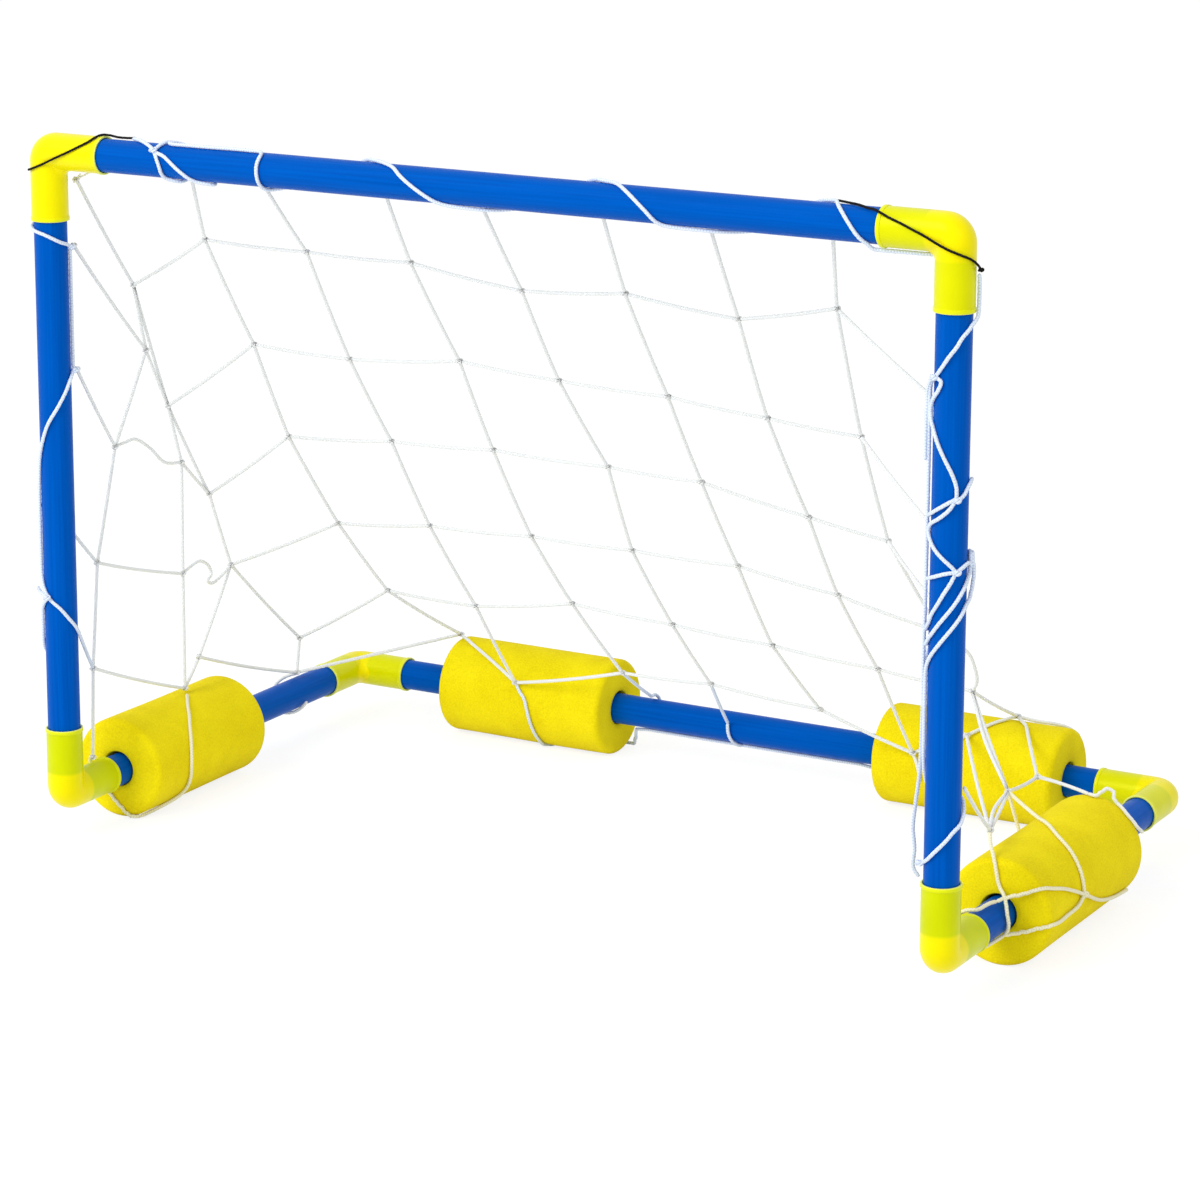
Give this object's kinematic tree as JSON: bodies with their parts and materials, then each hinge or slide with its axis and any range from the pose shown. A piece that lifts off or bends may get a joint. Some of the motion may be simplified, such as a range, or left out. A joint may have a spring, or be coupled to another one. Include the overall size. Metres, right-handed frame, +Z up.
{
  "type": "floating water polo goal",
  "caption": "Tabletop-size floating goal: plastic tubes in corner elbows, foam floats on the base, knotted net laced to posts and crossbar.",
  "frame": {"origin": "middle of the footprint, on the surface that the floats rest on", "axes": "+Z up, +Y from the open mouth to the back of the goal, +X to the right as seen from the front"},
  "size_m": [0.6582, 0.3785, 0.4456],
  "materials": {
    "tube": "satin blue plastic tube",
    "elbow": "glossy yellow moulded plastic",
    "foam": "matte closed-cell foam with fine grain",
    "net": "white braided cord",
    "lacing": "white braided cord",
    "tie": "black braided string"
  },
  "bodies": {
    "frame": {"crossbar": "tube", "post_left": "tube", "post_right": "tube", "side_tube_left": "tube", "side_tube_right": "tube", "rear_tube": "tube", "elbow_top_left": "elbow", "elbow_top_right": "elbow", "elbow_front_left": "elbow", "elbow_front_right": "elbow", "elbow_rear_left": "elbow", "elbow_rear_right": "elbow", "net_back": "net", "net_left": "net", "net_right": "net", "lacing_crossbar": "lacing", "lacing_post_left": "lacing", "lacing_post_right": "lacing", "lacing_rear": "lacing", "lacing_side_left": "lacing", "lacing_side_right": "lacing", "corner_tie_left": "tie", "corner_tie_right": "tie"},
    "side_left": {"float_side_left": "foam"},
    "side_right": {"float_side_right": "foam"},
    "rear_left": {"float_rear_left": "foam"},
    "rear_right": {"float_rear_right": "foam"}
  },
  "joints": [
    {"name": "side_left_slide", "type": "slide", "parent": "frame", "child": "side_left", "axis": [0, 1, 0], "range_m": [0, 0.02]},
    {"name": "side_right_slide", "type": "slide", "parent": "frame", "child": "side_right", "axis": [0, 1, 0], "range_m": [0, 0.05]},
    {"name": "rear_left_slide", "type": "slide", "parent": "frame", "child": "rear_left", "axis": [1, 0, 0], "range_m": [-0.038, 0]},
    {"name": "rear_right_slide", "type": "slide", "parent": "frame", "child": "rear_right", "axis": [1, 0, 0], "range_m": [0, 0.018]}
  ]
}
